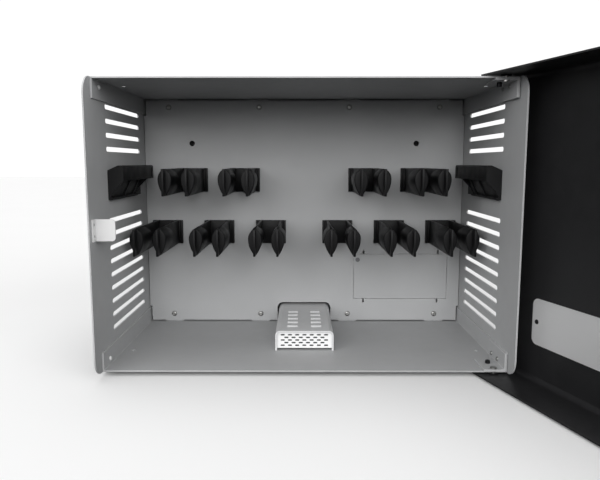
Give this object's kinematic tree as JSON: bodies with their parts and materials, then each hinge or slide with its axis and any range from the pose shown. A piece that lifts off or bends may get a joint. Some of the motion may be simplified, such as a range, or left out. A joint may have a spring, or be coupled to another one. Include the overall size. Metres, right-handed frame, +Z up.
{
  "type": "phone charging cabinet",
  "caption": "Wall or table charging cabinet with vented sides, paired cable hooks, a USB hub and a lockable side-hung door.",
  "frame": {"origin": "on the surface that the feet stand on, at the centre of the side panels' width and depth", "axes": "+X to the viewer's right as the open front is faced, +Y to the back, +Z up"},
  "size_m": [0.7635, 0.889, 0.4185],
  "materials": {
    "cabinet_paint": "fine-textured silver-grey powder coat",
    "strike_paint": "smooth pale paint",
    "plated_steel": "zinc plated",
    "black_screw": "black oxide",
    "black_plastic": "moulded, fine texture",
    "rocker_plastic": "smooth black",
    "hub_shell": "satin silver-white",
    "hub_face": "smooth white",
    "circuit_board": "solder mask",
    "bright_metal": "bright nickel",
    "brass": "plain",
    "lead_rubber": "smooth jacket",
    "foot_rubber": "matte",
    "dark_metal": "dark zinc",
    "door_paint": "fine-textured black powder coat",
    "plate_aluminium": "satin anodised",
    "lock_chrome": "polished"
  },
  "bodies": {
    "cabinet": {"side_panel_left": "cabinet_paint", "side_panel_right": "cabinet_paint", "top_sheet": "cabinet_paint", "bottom_sheet": "cabinet_paint", "back_cover": "cabinet_paint", "equipment_panel": "cabinet_paint", "panel_brackets": "cabinet_paint", "panel_screws": "plated_steel", "access_cover": "cabinet_paint", "wall_spacers": "black_screw", "hook_upper_1": "black_plastic", "hook_upper_2": "black_plastic", "hook_upper_3": "black_plastic", "hook_upper_4": "black_plastic", "hook_lower_1": "black_plastic", "hook_lower_2": "black_plastic", "hook_lower_3": "black_plastic", "hook_lower_4": "black_plastic", "hook_lower_5": "black_plastic", "hook_lower_6": "black_plastic", "hook_screws": "black_screw", "handle_left": "black_plastic", "handle_right": "black_plastic", "strike_bracket": "strike_paint", "strike_rivets": "plated_steel", "hinge_bracket_top": "cabinet_paint", "hinge_bracket_bottom": "cabinet_paint", "hinge_screws": "plated_steel", "hinge_bolts": "black_screw", "pivot_pin_top": "plated_steel", "pivot_pin_bottom": "plated_steel", "hinge_washers": "black_plastic", "flange_rivets": "strike_paint", "hub_cover": "hub_shell", "hub_grille": "hub_face", "hub_filter": "foot_rubber", "hub_board": "circuit_board", "hub_ports": "bright_metal", "power_supply": "plated_steel", "supply_screws": "black_screw", "supply_lead": "lead_rubber", "power_inlet": "black_plastic", "inlet_contacts": "brass", "inlet_screws": "plated_steel", "switch_frame": "black_plastic", "rubber_feet": "foot_rubber", "back_screws": "black_screw"},
    "door": {"door_shell": "door_paint", "door_plate": "plate_aluminium", "door_plate_screws": "black_screw", "lock_barrel": "lock_chrome", "lock_nut": "plated_steel"},
    "lock": {"lock_plug": "lock_chrome", "lock_cam": "plated_steel", "cam_screw": "plated_steel"},
    "latch": {"access_latch": "dark_metal"},
    "rocker": {"switch_rocker": "rocker_plastic"}
  },
  "joints": [
    {"name": "door_hinge", "type": "hinge", "parent": "cabinet", "child": "door", "pos_m": [0.266, -0.161, 0.2097], "axis": [0, 0, 1], "range_deg": [-108, 0]},
    {"name": "lock_turn", "type": "hinge", "parent": "door", "child": "lock", "pos_m": [0.44172, -0.63384, 0.2085], "axis": [-0.9511, -0.309, 0], "range_deg": [0, 90]},
    {"name": "latch_turn", "type": "hinge", "parent": "cabinet", "child": "latch", "pos_m": [0.098, 0.103, 0.1235], "axis": [0, 1, 0], "range_deg": [-90, 0]},
    {"name": "rocker_tilt", "type": "hinge", "parent": "cabinet", "child": "rocker", "pos_m": [0.2, 0.184, 0.1125], "axis": [1, 0, 0], "range_deg": [-14, 0]}
  ]
}
